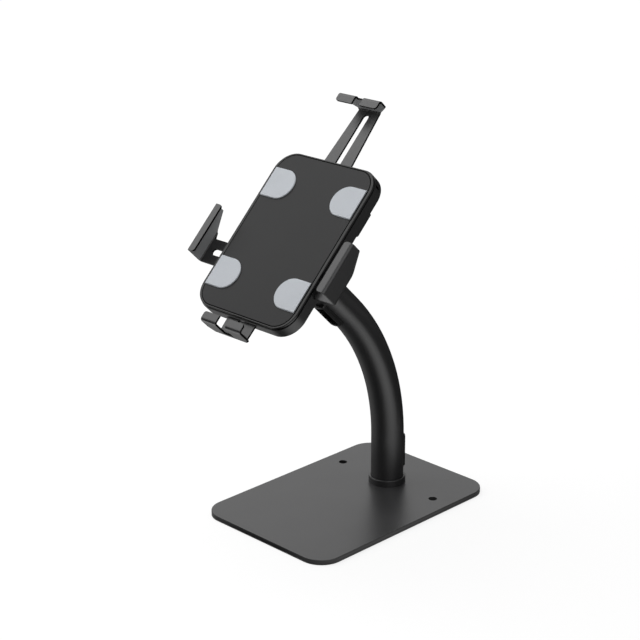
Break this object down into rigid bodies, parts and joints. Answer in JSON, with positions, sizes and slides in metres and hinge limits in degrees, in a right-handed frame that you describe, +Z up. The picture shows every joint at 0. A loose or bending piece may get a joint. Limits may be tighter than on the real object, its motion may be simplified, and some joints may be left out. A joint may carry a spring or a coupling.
{
  "type": "tablet mount",
  "caption": "Counter stand for a tablet: a flat base plate and a bent cable tube carry a tilting, turning head whose sliding jaws grip the edges of the tablet.",
  "frame": {"origin": "centre of the base's outline on its underside", "axes": "+Z up, -Y to the front where the tablet faces, +X to the right"},
  "size_m": [0.1951, 0.308, 0.4419],
  "materials": {
    "powder_coat": "matte dark grey powder coat with a fine grain",
    "black_rubber": "matte",
    "pad_rubber": "matte light grey silicone rubber",
    "black_plastic": "fine satin",
    "steel": "zinc plated"
  },
  "bodies": {
    "stand": {"base_plate": "powder_coat", "base_mat": "black_rubber", "foot_collar": "powder_coat", "foot_plug": "steel", "base_screws": "steel", "post_tube": "powder_coat", "lower_port": "black_plastic", "upper_port": "black_plastic", "end_plug": "powder_coat"},
    "yoke": {"tilt_yoke": "powder_coat", "tilt_bolt": "steel", "tilt_nut": "steel", "tilt_washers": "black_rubber", "friction_disc": "black_plastic"},
    "head": {"back_shell": "powder_coat", "front_cover": "powder_coat", "face_plate": "powder_coat", "face_pads": "pad_rubber", "pivot_bolt": "steel", "pivot_nut": "steel", "guide_posts": "steel", "clamp_screws": "steel", "lock_barrel": "steel", "shell_screws": "steel"},
    "upper_slide": {"top_jaw": "powder_coat"},
    "lower_slide": {"bottom_jaw": "powder_coat"},
    "left_slide": {"left_jaw": "powder_coat"},
    "right_slide": {"right_jaw": "powder_coat"},
    "lock": {"lock_plug": "steel", "lock_cam": "steel"}
  },
  "joints": [
    {"name": "tilt", "type": "hinge", "parent": "stand", "child": "yoke", "pos_m": [0, -0.06005, 0.27619], "axis": [1, 0, 0], "range_deg": [-40, 40]},
    {"name": "swivel", "type": "hinge", "parent": "yoke", "child": "head", "pos_m": [0, -0.09572, 0.31186], "axis": [0, -0.7071, 0.7071], "range_deg": [-90, 90]},
    {"name": "top_jaw_slide", "type": "slide", "parent": "head", "child": "upper_slide", "axis": [0, 0.7071, 0.7071], "range_m": [-0.06, 0.0045]},
    {"name": "bottom_jaw_slide", "type": "slide", "parent": "head", "child": "lower_slide", "axis": [0, -0.7071, -0.7071], "range_m": [-0.009, 0.006]},
    {"name": "left_jaw_slide", "type": "slide", "parent": "head", "child": "left_slide", "axis": [-1, 0, 0], "range_m": [-0.0235, 0.004]},
    {"name": "right_jaw_slide", "type": "slide", "parent": "head", "child": "right_slide", "axis": [1, 0, 0], "range_m": [-0.0208, 0.0066]},
    {"name": "lock_turn", "type": "hinge", "parent": "head", "child": "lock", "pos_m": [0.052, -0.06015, 0.34743], "axis": [0, -0.7071, 0.7071], "range_deg": [0, 90]}
  ]
}
